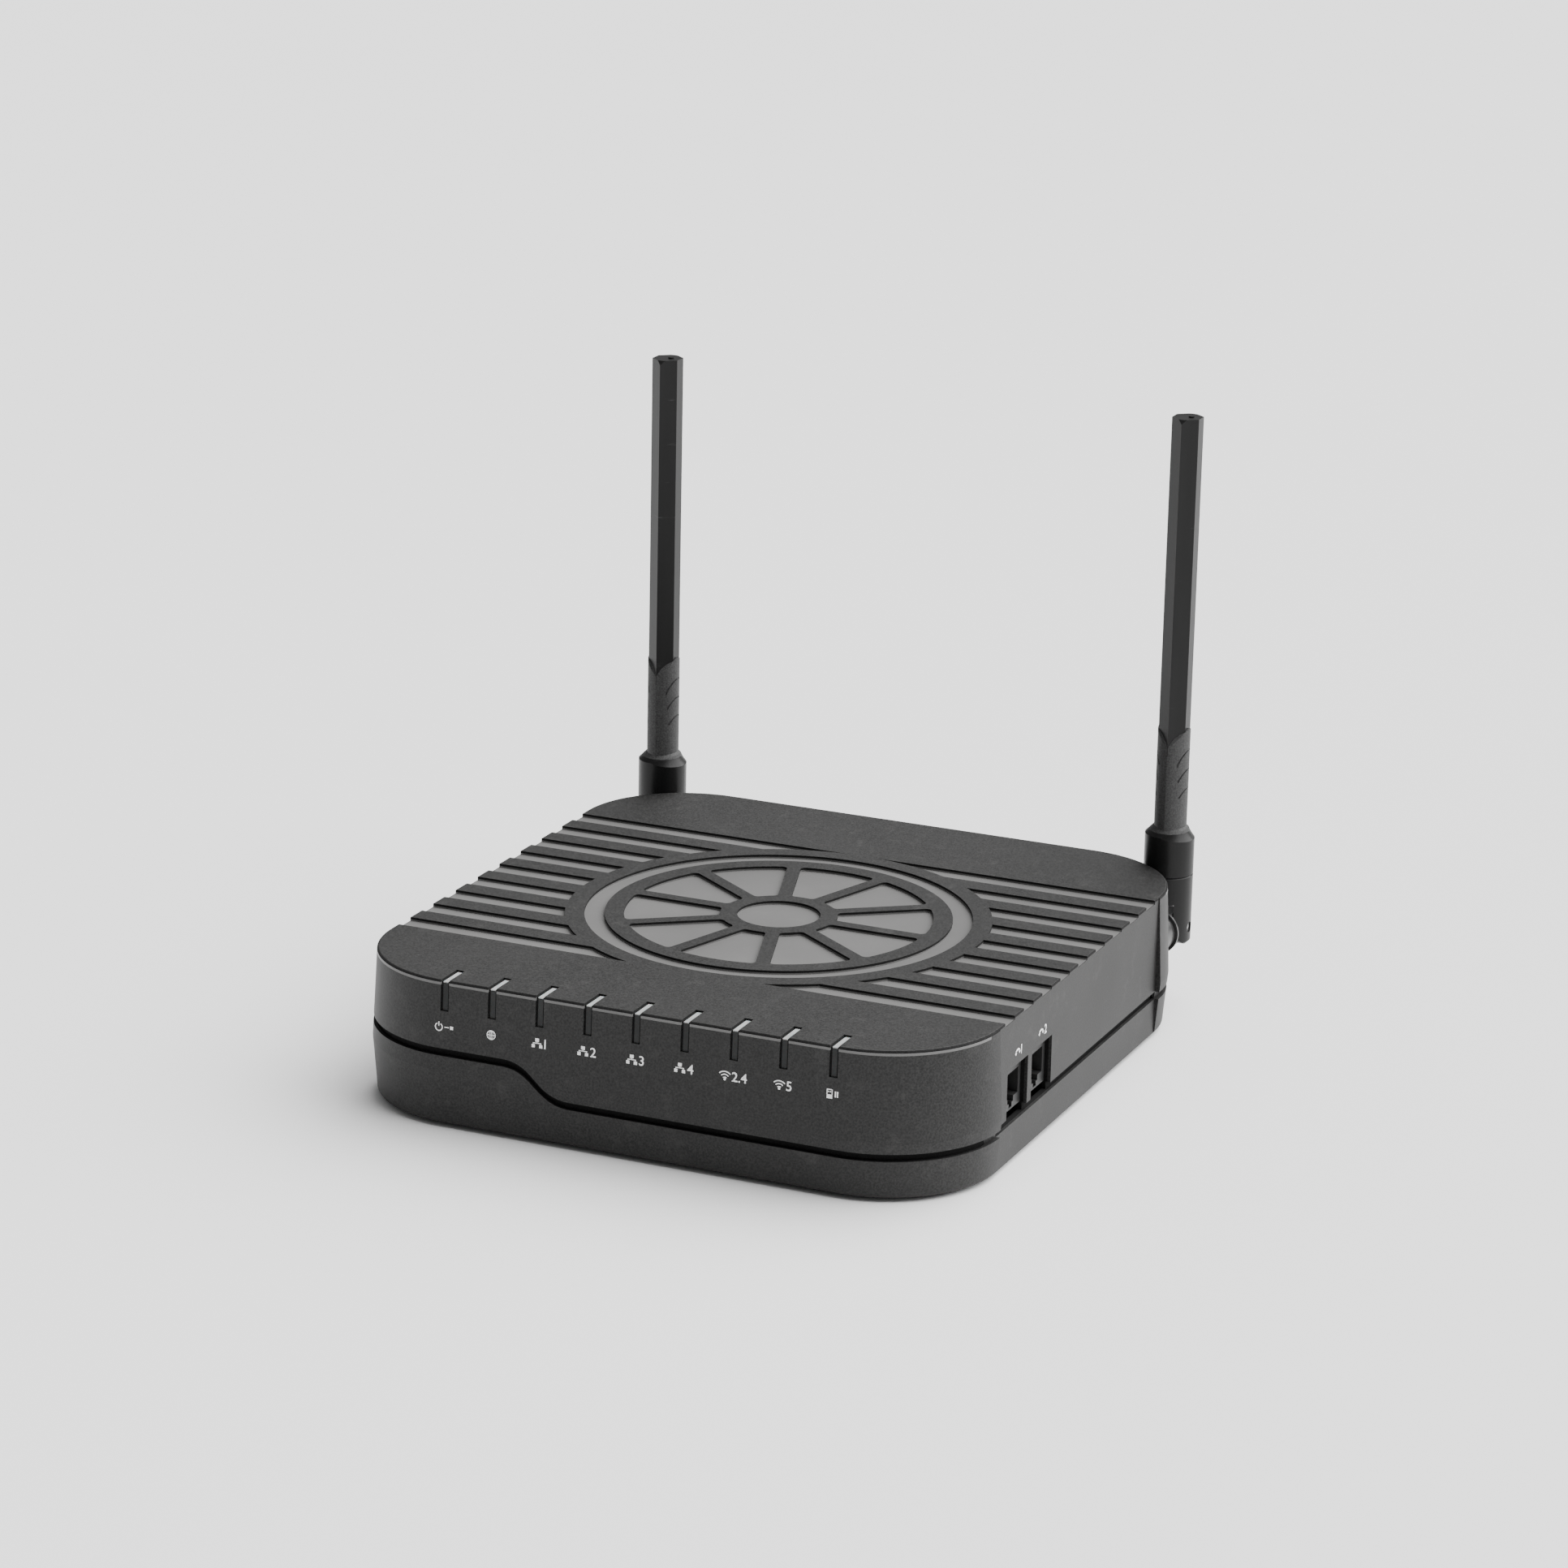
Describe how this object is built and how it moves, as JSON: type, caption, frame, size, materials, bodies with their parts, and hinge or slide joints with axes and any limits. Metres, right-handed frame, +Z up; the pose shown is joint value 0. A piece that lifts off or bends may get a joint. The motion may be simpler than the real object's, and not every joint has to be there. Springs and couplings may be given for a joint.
{
  "type": "wireless router",
  "caption": "Low rounded-square home gateway with a grooved top, wrap-over indicator windows, side telephone sockets and folding paddle aerials.",
  "frame": {"origin": "on the surface the feet stand on, under the middle of the whole box, upright aerials included", "axes": "+X to the right seen from the front, +Y from the front (indicator windows) to the back (sockets, aerials), +Z up"},
  "size_m": [0.1724, 0.1854, 0.164],
  "materials": {
    "case_plastic": "fine moulded grain",
    "window_plastic": "clear moulding, slightly frosted",
    "board_laminate": "solder resist",
    "chip_epoxy": "moulded epoxy",
    "sink_aluminium": "extruded, clear anodised",
    "can_steel": "tinned",
    "socket_plastic": "moulded",
    "contact_gold": "gold flash",
    "usb_steel": "nickel plated",
    "usb_insulator": "moulded",
    "button_plastic": "smooth moulded",
    "switch_plastic": "moulded",
    "led_body": "diffused",
    "capacitor_sleeve": "sleeved can",
    "ferrite": "sintered",
    "screw_steel": "zinc plated",
    "foot_rubber": "matt",
    "plate_film": "satin film",
    "hinge_plastic": "smooth moulded",
    "aerial_plastic": "satin moulded",
    "lead_jacket": "extruded",
    "radiator_metal": "bare copper"
  },
  "bodies": {
    "case": {"upper_cover": "case_plastic", "lower_case": "case_plastic", "light_guide": "window_plastic", "circuit_board": "board_laminate", "processor": "chip_epoxy", "heat_sink": "sink_aluminium", "memory_chip": "chip_epoxy", "flash_chip": "chip_epoxy", "ethernet_switch_chip": "chip_epoxy", "phone_line_chip": "chip_epoxy", "shield_2g": "can_steel", "shield_5g": "can_steel", "lan_transformers": "chip_epoxy", "wan_transformer": "chip_epoxy", "capacitors": "capacitor_sleeve", "power_inductor": "ferrite", "indicator_leds": "led_body", "lan_socket": "socket_plastic", "lan_contacts": "contact_gold", "wan_socket": "socket_plastic", "wan_contacts": "contact_gold", "phone_socket_1": "socket_plastic", "phone_socket_2": "socket_plastic", "phone_contacts": "contact_gold", "usb_shell": "usb_steel", "usb_tongue": "usb_insulator", "power_inlet": "socket_plastic", "power_inlet_pin": "usb_steel", "power_switch": "switch_plastic", "pairing_switch": "switch_plastic", "reset_switch": "switch_plastic", "case_screws": "screw_steel", "board_screws": "screw_steel", "front_left_foot": "foot_rubber", "front_right_foot": "foot_rubber", "rear_left_foot": "foot_rubber", "rear_right_foot": "foot_rubber", "rating_plate": "plate_film", "aerial_board_sockets": "contact_gold", "left_hinge_bush": "hinge_plastic", "left_aerial_pigtail": "lead_jacket", "right_hinge_bush": "hinge_plastic", "right_aerial_pigtail": "lead_jacket"},
    "left_swivel": {"left_hinge_swivel": "hinge_plastic", "left_hinge_clip": "can_steel"},
    "right_swivel": {"right_hinge_swivel": "hinge_plastic", "right_hinge_clip": "can_steel"},
    "left_aerial": {"left_aerial_root": "aerial_plastic", "left_aerial_sleeve": "aerial_plastic", "left_hinge_pin": "screw_steel", "left_aerial_radiator": "radiator_metal", "left_aerial_coax": "lead_jacket"},
    "right_aerial": {"right_aerial_root": "aerial_plastic", "right_aerial_sleeve": "aerial_plastic", "right_hinge_pin": "screw_steel", "right_aerial_radiator": "radiator_metal", "right_aerial_coax": "lead_jacket"},
    "power_button": {"power_button": "button_plastic"},
    "pairing_button": {"pairing_button": "button_plastic"},
    "reset_plunger": {"reset_plunger": "usb_steel"}
  },
  "joints": [
    {"name": "left_aerial_swivel", "type": "hinge", "parent": "case", "child": "left_swivel", "pos_m": [-0.0763, 0.0859, 0.02185], "axis": [0, -1, 0], "range_deg": [0, 90]},
    {"name": "left_aerial_fold", "type": "hinge", "parent": "left_swivel", "child": "left_aerial", "pos_m": [-0.0763, 0.0859, 0.02185], "axis": [-1, 0, 0], "range_deg": [0, 90]},
    {"name": "right_aerial_swivel", "type": "hinge", "parent": "case", "child": "right_swivel", "pos_m": [0.0763, 0.0859, 0.02185], "axis": [0, 1, 0], "range_deg": [0, 90]},
    {"name": "right_aerial_fold", "type": "hinge", "parent": "right_swivel", "child": "right_aerial", "pos_m": [0.0763, 0.0859, 0.02185], "axis": [-1, 0, 0], "range_deg": [0, 90]},
    {"name": "power_button_press", "type": "slide", "parent": "case", "child": "power_button", "axis": [0, -1, 0], "range_m": [0, 0.0015], "stiffness_N_per_m": 600},
    {"name": "pairing_button_press", "type": "slide", "parent": "case", "child": "pairing_button", "axis": [1, 0, 0], "range_m": [0, 0.0008], "stiffness_N_per_m": 600},
    {"name": "reset_plunger_press", "type": "slide", "parent": "case", "child": "reset_plunger", "axis": [1, 0, 0], "range_m": [0, 0.0008], "stiffness_N_per_m": 400}
  ]
}
